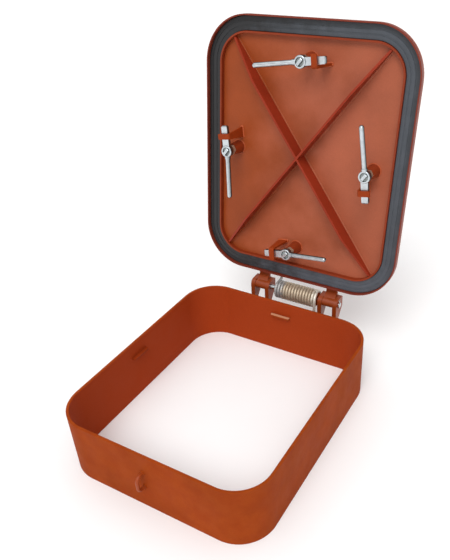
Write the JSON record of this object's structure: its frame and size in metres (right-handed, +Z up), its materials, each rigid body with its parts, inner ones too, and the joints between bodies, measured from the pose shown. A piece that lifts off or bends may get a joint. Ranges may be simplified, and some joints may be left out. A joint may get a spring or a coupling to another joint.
{
  "type": "hinged deck hatch with coaming",
  "caption": "Rounded rectangular coaming with a gasketed, cross-ribbed lid that opens on a sprung hinge and is held shut by swinging hand dogs under wedges.",
  "frame": {"origin": "centre of the clear opening, in the plane of the coaming's lower edge where it meets the deck", "axes": "+Z up out of the deck, +X along the hinge pin, +Y from the opening towards the hinge"},
  "size_m": [0.654, 1.0073, 1.0056],
  "materials": {
    "coaming_paint": "red-oxide primer, satin, on welded steel plate",
    "lid_paint": "red-oxide primer, satin, on pressed and welded steel",
    "gasket_rubber": "matt dark grey solid rubber with two shallow grooves",
    "zinc_steel": "zinc-plated or stainless forgings, softly shiny",
    "spring_steel": "yellow-passivated round spring wire",
    "gland_brass": "dull beige-grey gland nut"
  },
  "bodies": {
    "coaming": {"coaming": "coaming_paint", "staple_eye": "coaming_paint", "wedge_front": "coaming_paint", "wedge_right": "coaming_paint", "wedge_back": "coaming_paint", "wedge_left": "coaming_paint", "lug_left_outer": "coaming_paint", "lug_left_inner": "coaming_paint", "lug_right_inner": "coaming_paint", "lug_right_outer": "coaming_paint", "lid_stop_left": "coaming_paint", "lid_stop_right": "coaming_paint", "hinge_pin": "zinc_steel", "hinge_washer": "coaming_paint", "split_pin": "zinc_steel", "spring_mandrel": "coaming_paint", "torsion_spring": "spring_steel", "spring_anchor": "coaming_paint"},
    "lid": {"lid_shell": "lid_paint", "gasket_retainer": "coaming_paint", "gasket": "gasket_rubber", "rib_through": "coaming_paint", "rib_half_front": "coaming_paint", "rib_half_back": "coaming_paint", "hinge_arm_left": "coaming_paint", "hinge_arm_right": "coaming_paint", "boss_front": "coaming_paint", "gland_nut_front": "gland_brass", "keeper_front": "coaming_paint", "boss_right": "coaming_paint", "gland_nut_right": "gland_brass", "keeper_right": "coaming_paint", "boss_back": "coaming_paint", "gland_nut_back": "gland_brass", "keeper_back": "coaming_paint", "boss_left": "coaming_paint", "gland_nut_left": "gland_brass", "keeper_left": "coaming_paint", "spring_clip": "coaming_paint", "grab_handle": "coaming_paint"},
    "dog_front": {"lever_front": "zinc_steel", "spindle_front": "zinc_steel", "outer_lever_front": "zinc_steel"},
    "dog_right": {"lever_right": "zinc_steel", "spindle_right": "zinc_steel", "outer_lever_right": "zinc_steel"},
    "dog_back": {"lever_back": "zinc_steel", "spindle_back": "zinc_steel", "outer_lever_back": "zinc_steel"},
    "dog_left": {"lever_left": "zinc_steel", "spindle_left": "zinc_steel", "outer_lever_left": "zinc_steel"}
  },
  "joints": [
    {"name": "lid_hinge", "type": "hinge", "parent": "coaming", "child": "lid", "pos_m": [0, 0.437, 0.188], "axis": [1, 0, 0], "range_deg": [0, 97.8], "stiffness_Nm_per_rad": 31.4, "deforming": ["torsion_spring"]},
    {"name": "dog_front_swing", "type": "hinge", "parent": "lid", "child": "dog_front", "pos_m": [0.007, 0.5467, 0.89818], "axis": [0, -0.9907, 0.1357], "range_deg": [0, 82]},
    {"name": "dog_right_swing", "type": "hinge", "parent": "lid", "child": "dog_right", "pos_m": [0.2215, 0.50877, 0.62127], "axis": [0, -0.9907, 0.1357], "range_deg": [0, 82]},
    {"name": "dog_back_swing", "type": "hinge", "parent": "lid", "child": "dog_back", "pos_m": [-0.005, 0.47029, 0.34039], "axis": [0, -0.9907, 0.1357], "range_deg": [0, 82]},
    {"name": "dog_left_swing", "type": "hinge", "parent": "lid", "child": "dog_left", "pos_m": [-0.2215, 0.50944, 0.62622], "axis": [0, -0.9907, 0.1357], "range_deg": [0, 82]}
  ]
}
